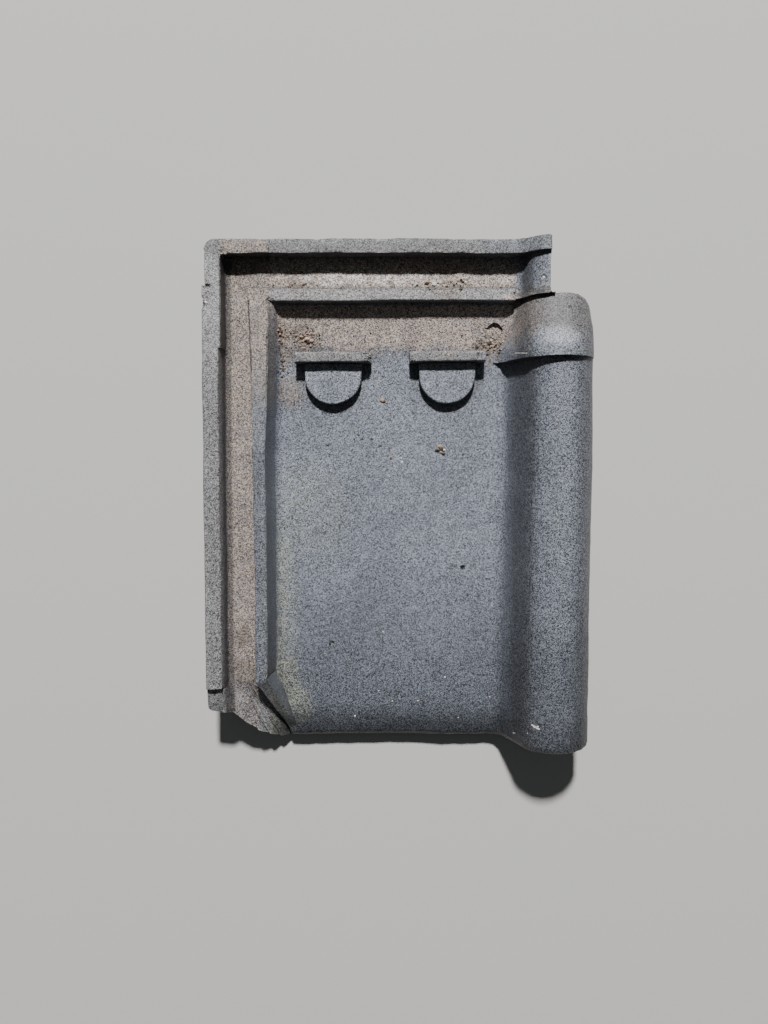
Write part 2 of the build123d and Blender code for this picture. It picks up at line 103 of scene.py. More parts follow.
# Damage: place, radius, how far the clay is gone there, and which way it is pushed in
CHIPS = [
    (mm(-114.2, 115.4, 46.0), 4.2 * MM, 1.6 * MM, (0.9, 0.0, -0.5)),
    (mm(-114.6, 112.6, 45.6), 2.6 * MM, 1.2 * MM, (0.9, 0.0, -0.4)),
    (mm(-113.6, 124.1, 46.2), 1.8 * MM, 1.6 * MM, (0.3, 0.0, -1.0)),
    (mm(-111.6, 124.2, 46.4), 1.4 * MM, 1.1 * MM, (0.0, 0.0, -1.0)),
    (mm(115.2, 104.0, 40.5), 2.6 * MM, 1.4 * MM, (-1.0, 0.0, -0.2)),
    (mm(115.2, 97.5, 42.0), 2.8 * MM, 1.5 * MM, (-1.0, 0.0, -0.2)),
    (mm(-18.2, 88.6, 32.2), 4.4 * MM, 3.4 * MM, (-1.0, -0.3, -0.7)),
    (mm(-18.0, 83.6, 31.0), 3.4 * MM, 2.2 * MM, (-1.0, 0.4, -0.5)),
    (mm(-66.0, 88.0, 32.0), 2.2 * MM, 1.0 * MM, (0.8, 0.0, -0.6)),
    (mm(49.2, 86.0, 32.2), 2.4 * MM, 1.1 * MM, (-0.9, 0.0, -0.5)),
    (mm(-88.5, -142.0, 21.0), 3.6 * MM, 1.5 * MM, (0.3, 0.8, -0.5)),
    (mm(-101.0, -132.2, 30.5), 3.4 * MM, 1.4 * MM, (0.0, 0.9, -0.4)),
    (mm(40.7, -43.8, 16.2), 1.6 * MM, 2.0 * MM, (0.0, 0.0, -1.0)),
    (mm(-41.8, -91.9, 14.3), 1.3 * MM, 1.2 * MM, (0.0, 0.0, -1.0)),
    (mm(100.1, 110.4, 52.8), 1.6 * MM, 0.8 * MM, (-0.2, -0.4, -0.9)),
    (mm(84.0, 128.2, 50.9), 1.8 * MM, 0.6 * MM, (0.3, 0.0, -0.9)),
    (mm(-86.6, -118.0, 37.0), 2.6 * MM, 1.4 * MM, (0.6, 0.3, -0.7)),
    (mm(-87.1, -119.6, 27.0), 1.5 * MM, 1.0 * MM, (0.4, 0.3, -0.8)),
    (mm(70.8, 121.8, 38.2), 2.4 * MM, 1.2 * MM, (-0.7, 0.4, -0.5)),
    (mm(-77.0, 117.4, 38.0), 3.0 * MM, 1.3 * MM, (-0.6, 0.5, -0.7)),
    (mm(-103.0, 144.0, 46.0), 3.0 * MM, 1.4 * MM, (0.6, -0.6, -0.6)),
]
# Soft edges of the turned bank at the front left corner: both ends and reach
SOFT_LINES = [
    (mm(-75.5, -106.0, 27.0), mm(-69.5, -137.0, 15.0), 5.5 * MM),
    (mm(-83.0, -112.0, 32.0), mm(-76.0, -106.0, 27.0), 3.0 * MM),
]


def cut_into_cells(mesh):
    """Cuts the faces along an even grid."""
    for axis, low, high in (
        (Vector((1, 0, 0)), cad_low.x, cad_high.x),
        (Vector((0, 1, 0)), cad_low.y, cad_high.y),
    ):
        place = low + CELL
        while place < high:
            everything = mesh.verts[:] + mesh.edges[:] + mesh.faces[:]
            bmesh.ops.bisect_plane(mesh, geom=everything, dist=WELD, plane_co=axis * place, plane_no=axis)
            place += CELL


def refine(mesh, place, reach, length):
    """Cuts the edges near a place until they are short enough to take a small form."""
    for _ in range(MOST_CUTS):
        near = []
        for edge in mesh.edges:
            middle = (edge.verts[0].co + edge.verts[1].co) / 2
            span = edge.calc_length()
            if span > length and (middle - place).length < reach + span / 2:
                near.append(edge)
        if not near:
            return
        bmesh.ops.subdivide_edges(mesh, edges=near, cuts=1, use_grid_fill=True)
        bmesh.ops.triangulate(mesh, faces=[f for f in mesh.faces if len(f.verts) > 4])


def chip(mesh, place, radius, depth, way):
    """Pushes the surface in round a place, less and less towards a ragged rim."""
    refine(mesh, place, radius, max(FINEST_CELL, radius / CELLS_IN_CHIP))
    way = Vector(way).normalized()
    for vert in mesh.verts:
        distance = (vert.co - place).length
        rim = radius * (1 + CHIP_RIM_WAVE[1] * noise.noise(vert.co * CHIP_RIM_WAVE[0]))
        if distance < rim:
            share = 1 - (distance / rim) ** 2
            rough = CHIP_DEPTH_SHARE + CHIP_DEPTH_WAVE[1] * noise.noise(vert.co * CHIP_DEPTH_WAVE[0])
            vert.co += way * depth * share * rough


def soften(mesh, first, last, reach):
    """Rounds off the pressed edges near a line on the upper side."""
    run = last - first
    for step in range(SOFT_STEPS + 1):
        refine(mesh, first + run * step / SOFT_STEPS, reach, SOFT_CELL)
    near = []
    for vert in mesh.verts:
        share = min(1.0, max(0.0, (vert.co - first).dot(run) / run.length_squared))
        if (vert.co - first - run * share).length < reach and vert.normal.z > UPPER_SIDE:
            near.append(vert)
    for _ in range(SOFT_ROUNDS):
        bmesh.ops.smooth_vert(
            mesh, verts=near, factor=0.5, use_axis_x=True, use_axis_y=True, use_axis_z=True
        )


def bend_of(vert):
    """Above zero where the surface bends outwards, as at an edge, and below where it is hollow."""
    total = 0.0
    for edge in vert.link_edges:
        if len(edge.link_faces) == 2:
            total += edge.calc_face_angle_signed(0.0)
    return total


def make_uneven(mesh):
    """Pressed clay isn't straight: it has long waves, finger marks, and edges that are a little worn."""
    mesh.normal_update()
    closeness, start, strength = WORN_STRETCH
    bends = [bend_of(vert) for vert in mesh.verts]
    moves = []
    for vert, bend in zip(mesh.verts, bends):
        move = noise.noise_vector(vert.co * SLOW_WAVE[0]) * SLOW_WAVE[1]
        move += noise.noise_vector(vert.co * FAST_WAVE[0]) * FAST_WAVE[1]
        if bend > EDGE_BEND:
            wear = max(0.0, LEAST_WEAR + noise.noise(vert.co * EDGE_WAVE[0]))
            wear += max(0.0, noise.noise(vert.co * closeness) - start) * strength
            move -= vert.normal * wear * EDGE_WAVE[1] * min(1.0, bend)
        moves.append(move)
    for vert, move in zip(mesh.verts, moves):
        vert.co += move


def keep_in_box(mesh):
    """Keeps every point just inside the box of the solid tile."""
    inset = Vector((INSET, INSET, INSET))
    inner_low = cad_low + inset
    inner_high = cad_high - inset
    for vert in mesh.verts:
        for axis in range(3):
            vert.co[axis] = min(max(vert.co[axis], inner_low[axis]), inner_high[axis])


def mark_edges(mesh):
    """Stores how much each point bends outwards or inwards, for the wear on the edges and the darkening of
    the hollows.
    """
    mesh.normal_update()
    worn = mesh.verts.layers.float.new("worn_edge")
    hollow = mesh.verts.layers.float.new("hollow")
    values = {vert: bend_of(vert) for vert in mesh.verts}
    for vert, bend in values.items():
        around = [values[edge.other_vert(vert)] for edge in vert.link_edges]
        mean = (bend + sum(around) / max(1, len(around))) / 2
        vert[worn] = min(1.0, max(0.0, mean * BEND_SHARE))
        vert[hollow] = min(1.0, max(0.0, -mean * BEND_SHARE))


def new_object(name, mesh):
    """Makes an object of a bmesh, which it frees."""
    data = bpy.data.meshes.new(name)
    mesh.to_mesh(data)
    mesh.free()
    obj = bpy.data.objects.new(name, data)
    bpy.context.collection.objects.link(obj)
    return obj


def worn_tile():
    """The tile with its uneven pressed edges and with what has chipped off."""
    mesh = bmesh.new()
    mesh.from_mesh(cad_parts["roof_tile"].data)
    bmesh.ops.remove_doubles(mesh, verts=mesh.verts, dist=WELD)
    bmesh.ops.dissolve_limit(
        mesh, angle_limit=FLAT_ANGLE, verts=mesh.verts, edges=mesh.edges, use_dissolve_boundaries=False
    )
    cut_into_cells(mesh)
    make_uneven(mesh)
    for first, last, reach in SOFT_LINES:
        mesh.normal_update()
        soften(mesh, first, last, reach)
    for place, radius, depth, way in CHIPS:
        chip(mesh, place, radius, depth, way)
    keep_in_box(mesh)
    bmesh.ops.triangulate(mesh, faces=mesh.faces)
    bmesh.ops.remove_doubles(mesh, verts=mesh.verts, dist=WELD)
    bmesh.ops.recalc_face_normals(mesh, faces=mesh.faces)
    mark_edges(mesh)
    for face in mesh.faces:
        face.smooth = True
    for edge in mesh.edges:
        if len(edge.link_faces) == 2 and edge.calc_face_angle(0.0) > SHARP_ANGLE:
            edge.smooth = False
    tree = BVHTree.FromBMesh(mesh)
    obj = new_object("worn_tile", mesh)
    weighted = obj.modifiers.new("flat_faces_lead", "WEIGHTED_NORMAL")
    weighted.keep_sharp = True
    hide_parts("roof_tile")
    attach(obj, "root")
    return obj, tree


class Tree:
    """Short ways to add and join nodes in a material or a node group."""

    def __init__(self, tree):
        self.tree = tree

    def node(self, kind, **settings):
        made = self.tree.nodes.new(kind)
        for name, value in settings.items():
            setattr(made, name, value)
        return made

    def feed(self, socket, value):
        if isinstance(value, bpy.types.NodeSocket):
            self.tree.links.new(value, socket)
        else:
            socket.default_value = value

    def math(self, operation, first, second=0.0, clamp=False):
        made = self.node("ShaderNodeMath", operation=operation, use_clamp=clamp)
        self.feed(made.inputs[0], first)
        self.feed(made.inputs[1], second)
        return made.outputs[0]

    def product(self, first, *others):
        for other in others:
            first = self.math("MULTIPLY", first, other)
        return first

    def largest(self, first, *others):
        for other in others:
            first = self.math("MAXIMUM", first, other)
        return first

    def vector(self, operation, first, second=(0.0, 0.0, 0.0), output="Vector"):
        made = self.node("ShaderNodeVectorMath", operation=operation)
        self.feed(made.inputs[0], first)
        self.feed(made.inputs[1], second)
        return made.outputs[output]

    def scaled(self, vector, factor):
        made = self.node("ShaderNodeVectorMath", operation="SCALE")
        self.feed(made.inputs[0], vector)
        self.feed(made.inputs["Scale"], factor)
        return made.outputs[0]

    def ramp(self, value, start, end, low=0.0, high=1.0):
        made = self.node("ShaderNodeMapRange", interpolation_type="SMOOTHSTEP")
        self.feed(made.inputs["Value"], value)
        self.feed(made.inputs["From Min"], start)
        self.feed(made.inputs["From Max"], end)
        self.feed(made.inputs["To Min"], low)
        self.feed(made.inputs["To Max"], high)
        return made.outputs["Result"]

    def noise(self, where, scale, detail=3.0, roughness=0.55):
        made = self.node("ShaderNodeTexNoise")
        self.feed(made.inputs["Vector"], where)
        self.feed(made.inputs["Scale"], scale)
        self.feed(made.inputs["Detail"], detail)
        self.feed(made.inputs["Roughness"], roughness)
        return made.outputs["Fac"]

    def cells(self, where, scale):
        made = self.node("ShaderNodeTexVoronoi")
        self.feed(made.inputs["Vector"], where)
        self.feed(made.inputs["Scale"], scale)
        return made.outputs

    def mix(self, share, first, second):
        """Mixes two colours. The node has sockets for each kind of value, and these are the colour ones."""
        made = self.node("ShaderNodeMix", data_type="RGBA")
        self.feed(made.inputs[0], share)
        self.feed(made.inputs[6], first)
        self.feed(made.inputs[7], second)
        return made.outputs[2]

    def over(self, colour, tone, *masks):
        """Lays a tone over a colour, as much as the product of the masks."""
        return self.mix(self.product(*masks), colour, tone)

    def parts(self, vector):
        made = self.node("ShaderNodeSeparateXYZ")
        self.feed(made.inputs[0], vector)
        return made.outputs

    def use(self, group, **values):
        made = self.node("ShaderNodeGroup", node_tree=group)
        for name, value in values.items():
            self.feed(made.inputs[name.replace("_", " ")], value)
        return made.outputs


def new_group(name, inputs, outputs):
    group = bpy.data.node_groups.new(name, "ShaderNodeTree")
    for label, kind in inputs:
        group.interface.new_socket(label, in_out="INPUT", socket_type=kind)
    for label in outputs:
        group.interface.new_socket(label, in_out="OUTPUT", socket_type="NodeSocketFloat")
    return group, group.nodes.new("NodeGroupInput"), group.nodes.new("NodeGroupOutput")


def grain_group():
    """The fine grit of fired clay, with paler and darker specks and tiny open pores."""
    group, start, end = new_group(
        "clay_grain",
        [("Place", "NodeSocketVector"), ("Size", "NodeSocketFloat")],
        ["Specks", "Height", "Pores"],
    )
    t = Tree(group)
    place = start.outputs["Place"]
    scale = t.math("DIVIDE", 1.0, start.outputs["Size"])
    fine = t.noise(place, scale, detail=4.0, roughness=0.75)
    coarse = t.noise(place, t.product(scale, 0.22), detail=3.0, roughness=0.6)
    holes = t.ramp(t.cells(place, t.product(scale, 0.5))["Distance"], 0.16, 0.06)
    seldom = t.ramp(t.noise(place, t.product(scale, 0.12), detail=2.0), 0.52, 0.62)
    pores = t.product(holes, seldom)
    grit = t.cells(place, scale)
    tone = t.math("SUBTRACT", t.product(t.parts(grit["Color"])[0], 2.0), 1.0)
    specks = t.math("ADD", t.product(tone, 0.8), t.ramp(fine, 0.36, 0.64, -0.45, 0.45))
    height = t.math("ADD", fine, t.product(coarse, 0.7))
    height = t.math("SUBTRACT", height, t.product(grit["Distance"], 0.35))
    height = t.math("SUBTRACT", height, t.product(pores, 0.8))
    t.feed(end.inputs["Specks"], specks)
    t.feed(end.inputs["Height"], height)
    t.feed(end.inputs["Pores"], pores)
    return group


def line_group():
    """A broken scratch along a straight line."""
    group, start, end = new_group(
        "scratch_line",
        [
            ("Place", "NodeSocketVector"),
            ("From", "NodeSocketVector"),
            ("Run", "NodeSocketVector"),
            ("Width", "NodeSocketFloat"),
        ],
        ["Mask"],
    )
    t = Tree(group)
    run = start.outputs["Run"]
    away = t.vector("SUBTRACT", start.outputs["Place"], start.outputs["From"])
    length = t.vector("DOT_PRODUCT", run, run, output="Value")
    along = t.math("DIVIDE", t.vector("DOT_PRODUCT", away, run, output="Value"), length, clamp=True)
    off = t.vector("LENGTH", t.vector("SUBTRACT", away, t.scaled(run, along)), output="Value")
    ragged = t.ramp(t.noise(start.outputs["Place"], 900.0, detail=2.0), 0.35, 0.6, 0.25, 1.0)
    wide = t.product(start.outputs["Width"], ragged)
    t.feed(end.inputs["Mask"], t.ramp(t.math("DIVIDE", off, wide), 1.0, 0.5))
    return group


def patch_group():
    """A ragged patch round a place."""
    group, start, end = new_group(
        "ragged_patch",
        [("Place", "NodeSocketVector"), ("Centre", "NodeSocketVector"), ("Reach", "NodeSocketFloat")],
        ["Mask"],
    )
    t = Tree(group)
    away = t.vector("DISTANCE", start.outputs["Place"], start.outputs["Centre"], output="Value")
    share = t.math("DIVIDE", away, start.outputs["Reach"])
    ragged = t.noise(start.outputs["Place"], 220.0, detail=4.0, roughness=0.7)
    ragged = t.product(t.math("SUBTRACT", ragged, 0.5), 1.6)
    t.feed(end.inputs["Mask"], t.ramp(t.math("ADD", share, ragged), 1.05, 0.55))
    return group


# Chalky scratches: both ends and width
SCRATCHES = [
    (mm(79.4, -135.1, 43.9), mm(83.3, -136.9, 46.8), 0.75 * MM),
    (mm(80.6, -136.4, 44.6), mm(82.6, -135.3, 46.4), 0.5 * MM),
    (mm(70.7, -144.5, 28.8), mm(77.4, -140.7, 41.4), 0.4 * MM),
    (mm(69.3, 86.2, 40.3), mm(74.5, 84.1, 51.2), 0.45 * MM),
]
# The pale line along the crest of the chute at the front left corner: both ends and width
CHUTE_CREST = (mm(-87.7, -124.2, 23.8), mm(-77.5, -146.0, 13.3), 2.6 * MM)
# Chalky spots: middle and reach
CHALK_SPOTS = [
    (mm(84.0, 128.2, 50.9), 1.1 * MM),
    (mm(2.6, 22.5, 18.8), 0.8 * MM),
    (mm(2.2, 25.0, 19.0), 0.5 * MM),
    (mm(-9.3, -84.5, 14.6), 0.6 * MM),
    (mm(-27.1, -138.4, 12.5), 0.7 * MM),
    (mm(30.0, -113.5, 13.5), 0.6 * MM),
    (mm(-113.4, 115.0, 46.0), 0.9 * MM),
    (mm(83.0, -136.8, 46.6), 0.6 * MM),
]
# Small pits and nicks, painted black for the shade inside them, and a few dark specks: middle and reach
PITS = [
    (mm(40.7, -43.8, 16.2), 1.9 * MM),
    (mm(40.6, 27.0, 19.0), 0.9 * MM),
    (mm(-42.8, -92.5, 14.3), 1.1 * MM),
    (mm(-41.0, -91.4, 14.3), 1.1 * MM),
    (mm(-16.2, 36.6, 19.5), 0.9 * MM),
    (mm(-24.4, 39.0, 19.6), 0.8 * MM),
    (mm(-22.2, 36.6, 19.5), 0.8 * MM),
    (mm(100.1, 110.4, 52.8), 0.9 * MM),
]
# Moss: middle, reach and share
MOSS_PATCHES = [
    (mm(-74.0, -112.0, 18.0), 15.0 * MM, 1.0),
    (mm(-67.0, -126.0, 16.0), 13.0 * MM, 1.0),
    (mm(-62.0, -136.0, 13.0), 10.0 * MM, 0.7),
    (mm(-58.0, -8.0, 18.0), 34.0 * MM, 0.25),
]
# Loose dirt: middle and reach
DIRT_PATCHES = [
    (mm(-94.0, -106.0, 29.8), 11.0 * MM),
    (mm(-95.0, -84.0, 30.5), 8.0 * MM),
    (mm(58.0, 95.0, 24.5), 15.0 * MM),
    (mm(68.0, 90.0, 34.0), 9.0 * MM),
    (mm(-58.0, 98.0, 25.0), 12.0 * MM),
    (mm(-72.5, 103.0, 29.0), 8.0 * MM),
    (mm(-71.0, 88.0, 23.5), 9.0 * MM),
    (mm(-68.0, 66.0, 22.0), 12.0 * MM),
    (mm(28.0, 129.0, 36.0), 14.0 * MM),
    (mm(-58.0, 129.0, 36.0), 9.0 * MM),
    (mm(-87.5, -119.0, 26.5), 5.0 * MM),
]

# Regions of the tile, each a product of fades. A fade names a coordinate, where it starts and where it is
# full, both in mm, and may end with its values at those two places. The coordinate loose_y is y with a
# wandering border, and rise is how far the surface faces up, from -1 to 1.
REGIONS = {
    "facing_up": [("rise", 0.35, 0.9)],
    "not_below": [("rise", 0.1, 0.4)],
    "pan_near_head": [("loose_y", 84, 96), ("x", 78, 66), ("x", -78.5, -76.5), ("y", 117.5, 116.5)],
    "side_groove": [("x", -105.5, -103.5), ("x", -86, -87.5), ("loose_y", -130, -100, 0.3, 1.0)],
    "inner_side_rib": [("x", -88.5, -87.5), ("x", -76, -78), ("loose_y", 55, 92, 0.0, 0.9)],
    "head_groove": [
        ("y", 118, 121),
        ("y", 146, 143.5),
        ("x", 76, 64),
        ("z", 37.2, 36.8, 0.15, 1.0),
        ("x", -105.5, -103.5),
    ],
    "beside_dome": [
        ("x", 90, 68),
        ("x", 58, 66),
        ("loose_y", 88, 100),
        ("y", 123, 120, 0.0, 0.75),
        ("rise", 0.1, 0.4),
    ],
    "left_of_pan": [("x", -83, -77), ("x", -60, -72), ("y", 30, -60, 0.0, 0.6)],
    "front_of_pan": [("loose_y", -30, -135)],
    "front_edge": [("y", -126, -147), ("x", 75, 65, 0.55, 1.0)],
    "right_of_inner_rib": [("x", -86, -72)],
    "head_end_of_side_rib": [("x", -101.5, -104.5), ("loose_y", 50, 100)],
    "before_head_corner": [("y", 146.5, 142.5, 0.35, 1.0)],
    "inner_head_rib": [("y", 116.5, 118.5), ("y", 125.5, 124)],
    "outer_head_rib": [("y", 140.5, 143.5)],
    "top_of_ribs": [("z", 34, 37)],
    "middle_of_head_groove": [
        ("x", -66, -50),
        ("x", 45, -2, 0.25, 1.0),
        ("y", 124, 127),
        ("y", 136.5, 133),
        ("z", 37.2, 36.8),
        ("x", 76, 64),
    ],
    "steep_side_of_roll": [("rise", 0.9, 0.55), ("x", 66, 72)],
    "outer_edge_of_roll": [("x", 95, 109), ("y", 100, 90, 0.4, 1.0)],
    "roll": [("x", 70, 76)],
    "dome": [("x", 66, 74), ("loose_y", 90.5, 100), ("y", 124, 122)],
    "outer_wall_of_groove": [("x", -106, -104.5), ("x", -98.5, -101.5), ("y", 143.5, 140)],
    "inner_wall_of_groove": [("x", -93, -91.5), ("x", -86, -87.5), ("rise", 0.9, 0.55), ("y", 127, 125)],
    "groove_and_inner_rib": [("x", -105, -103.5), ("x", -76.5, -78), ("y", -122, -115)],
    "foot_of_head_rib": [("y", 127.8, 126.2), ("y", 123.6, 125), ("x", -88.5, -87), ("x", 76, 64)],
    "under_front_edge": [("rise", 0.15, -0.1), ("y", -128, -138, 0.0, 0.85)],
    "top_of_outer_head_rib": [("y", 140.5, 143.5), ("z", 41.5, 42.5)],
    "front_ledge": [("x", -84, -94), ("y", -125, -132)],
    "bars": [("y", 79, 81), ("y", 93, 91), ("z", 28.5, 29.5), ("x", -72, -70), ("x", 58, 56)],
    "outer_side_rib": [("x", -103.5, -105.5), ("x", -68, -78)],
    "front_left_corner": [("y", -118, -128), ("x", -68, -78)],
    "lugs": [("y", 50, 62), ("x", 55, 45), ("z", 26.5, 29)],
}
# How dark each region is made: painted shade on the roll's steep side and outer edge and under the front
# edge, painted shade with dirt on the side groove's walls, and a darker clay tone elsewhere
SOOT_AND_SHADE = {
    "steep_side_of_roll": 0.58,
    "outer_edge_of_roll": 0.55,
    "roll": 0.16,
    "outer_wall_of_groove": 0.8,
    "groove_and_inner_rib": 0.35,
    "foot_of_head_rib": 0.4,
    "under_front_edge": 1.0,
    "inner_wall_of_groove": 0.7,
    "top_of_outer_head_rib": 0.36,
    "front_ledge": 0.22,
    "bars": 0.2,
    "dome": 0.5,
}
# How far a wandering border strays, from side to side
WANDER = 30.0 * MM
# How much darker the front of the pan and its edge are, and how far the outer head rib is bleached
FRONT_SHADE = 0.42
OUTER_RIB_BLEACH = 0.35
# The painted highlight on the dome: its middle, how much shorter it is along y, and its rim and full reach
HIGHLIGHT_PLACE = mm(92.0, 93.0, 59.5)
HIGHLIGHT_STRETCH = (1.0, 1.9, 1.0)
HIGHLIGHT_RIM = 16.0 * MM
HIGHLIGHT_CORE = 4.0 * MM


class Surface:
    """Masks over the tile, by where a point of its surface is and which way it faces."""

    def __init__(self, t, place, facing, patch, line):
        self.t = t
        self.place = place
        self.patch = patch
        self.line = line
        x, y, z = t.parts(place)
        border = t.noise(place, 60.0, detail=4.0, roughness=0.65)
        wander = t.product(t.math("SUBTRACT", border, 0.5), WANDER)
        self.coordinates = {"x": x, "y": y, "z": z, "loose_y": t.math("ADD", y, wander)}
        self.rise = t.parts(facing)[2]

    def fade(self, coordinate, start, full, low=0.0, high=1.0):
        if coordinate == "rise":
            return self.t.ramp(self.rise, start, full, low, high)
        return self.t.ramp(self.coordinates[coordinate], start * MM, full * MM, low, high)

    def region(self, name):
        return self.t.product(*[self.fade(*fade) for fade in REGIONS[name]])

    def strongest(self, *names):
        return self.t.largest(*[self.region(name) for name in names])

    def blotches(self, scale, detail, roughness, start, full, low=0.0):
        return self.t.ramp(self.t.noise(self.place, scale, detail, roughness), start, full, low, 1.0)

    def patches(self, places):
        """Ragged patches, each with its middle, its reach and perhaps its share."""
        masks = []
        for centre, reach, *share in places:
            mask = self.t.use(self.patch, Place=self.place, Centre=centre, Reach=reach)[0]
            masks.append(self.t.product(mask, *share))
        return self.t.largest(*masks)

    def lines(self, strokes):
        """Broken lines, each with its two ends and its width."""
        masks = []
        for first, last, width in strokes:
            stroke = self.t.use(self.line, Place=self.place, From=first, Run=last - first, Width=width)
            masks.append(stroke[0])
        return self.t.largest(*masks)


def dust(t, on):
    patchy = on.blotches(140.0, 5.0, 0.7, 0.3, 0.62, 0.55)
    level = on.strongest("pan_near_head", "side_groove", "inner_side_rib", "head_groove")
    level = t.product(level, patchy, on.region("facing_up"))
    return t.largest(level, t.product(on.region("beside_dome"), patchy))


def dirt(t, on):
    return t.product(on.patches(DIRT_PATCHES), on.region("facing_up"))


def moss(t, on):
    thick = t.largest(on.region("left_of_pan"), on.patches(MOSS_PATCHES))
    return t.product(thick, on.blotches(160.0, 4.0, 0.7, 0.3, 0.62, 0.25), on.region("not_below"))


def chalk(t, on):
    return t.largest(on.lines(SCRATCHES), on.patches(CHALK_SPOTS))


def crest(t, on):
    return on.lines([CHUTE_CREST])


def shade(t, on):
    front = t.product(on.region("front_of_pan"), FRONT_SHADE)
    edge = t.product(on.region("front_edge"), FRONT_SHADE)
    return t.product(t.math("ADD", front, edge), on.region("right_of_inner_rib"))


def bleached(t, on):
    side = t.math("MINIMUM", on.region("head_end_of_side_rib"), on.region("before_head_corner"))
    outer = t.product(on.region("outer_head_rib"), OUTER_RIB_BLEACH)
    ribs = t.largest(side, on.region("inner_head_rib"), outer)
    return t.product(ribs, on.region("top_of_ribs"), on.region("facing_up"))


def pale_dust(t, on):
    patchy = on.blotches(190.0, 5.0, 0.75, 0.38, 0.6)
    return t.product(on.region("middle_of_head_groove"), patchy, on.region("facing_up"))


def pits(t, on):
    return on.patches(PITS)


# Darker clay, and painted shade on steep and hidden faces
def soot_and_shade(t, on):
    return t.largest(*[t.product(on.region(name), share) for name, share in SOOT_AND_SHADE.items()])


# A painted highlight on the dome, a pool of light laid into the colour
def painted_highlight(t, on):
    away = t.vector("MULTIPLY", t.vector("SUBTRACT", on.place, HIGHLIGHT_PLACE), HIGHLIGHT_STRETCH)
    return t.ramp(t.vector("LENGTH", away, output="Value"), HIGHLIGHT_RIM, HIGHLIGHT_CORE)


def grey(t, on):
    return on.strongest("outer_side_rib", "front_left_corner", "lugs", "dome")


# Masks for the tile's colour, among them painted shade and a painted highlight
WEATHER_AND_PAINTED_LIGHT = {
    "Dust": dust,
    "Dirt": dirt,
    "Moss": moss,
    "Chalk": chalk,
    "Shade": shade,
    "Bleached": bleached,
    "Pale Dust": pale_dust,
    "Pits": pits,
    "Soot And Shade": soot_and_shade,
    "Grey": grey,
    "Painted Highlight": painted_highlight,
    "Crest": crest,
}


def weather_and_light_group(patch, line):
    """Where dust, moss, dirt, sooty darkening and chalky scratches lie on the tile, and where shade and a
    highlight are painted on it.
    """
    group, start, end = new_group(
        "weathering_and_painted_light", [("Place", "NodeSocketVector"), ("Facing", "NodeSocketVector")], WEATHER_AND_PAINTED_LIGHT
    )
    t = Tree(group)
    on = Surface(t, start.outputs["Place"], start.outputs["Facing"], patch, line)
    for name, mask in WEATHER_AND_PAINTED_LIGHT.items():
        t.feed(end.inputs[name], mask(t, on))
    return group


# Tones as linear red, green, blue and opacity
DEEP_CLAY = (0.119, 0.131, 0.158, 1)
LIGHT_CLAY = (0.155, 0.168, 0.199, 1)
FLECK = (0.26, 0.262, 0.265, 1)
GREY_CLAY = (0.15, 0.142, 0.14, 1)
MOSS = (0.31, 0.315, 0.235, 1)
BLEACHED_CLAY = (0.225, 0.223, 0.222, 1)
DEEP_DUST = (0.2, 0.157, 0.13, 1)
LIGHT_DUST = (0.5, 0.41, 0.35, 1)
DEEP_DIRT = (0.03, 0.025, 0.022, 1)
LIGHT_DIRT = (0.26, 0.205, 0.165, 1)
PALE_DUST = (0.52, 0.475, 0.445, 1)
HOLLOW_DARK = (0.045, 0.04, 0.037, 1)
BROKEN_CLAY = (0.3, 0.31, 0.32, 1)
# Near black, for darker clay and for painted shade
SOOT_AND_SHADE_BLACK = (0.03, 0.027, 0.026, 1)
CREST_CLAY = (0.27, 0.262, 0.255, 1)
# Tone of the painted highlight on the dome
HIGHLIGHT_CLAY = (0.29, 0.3, 0.335, 1)
PORE_BLACK = (0.012, 0.011, 0.01, 1)
PIT_BLACK = (0.004, 0.004, 0.004, 1)
CHALK_WHITE = (0.72, 0.7, 0.66, 1)

# The grit's size, and how high it stands
GRAIN_SIZE = 0.48 * MM
GRAIN_HEIGHT = 0.3 * MM
# The specks' mean light, how strongly they vary it, and the least that it falls to
SPECK_MEAN = 1.03
SPECK_SHARE = 1.4
SPECK_LEAST = 0.1


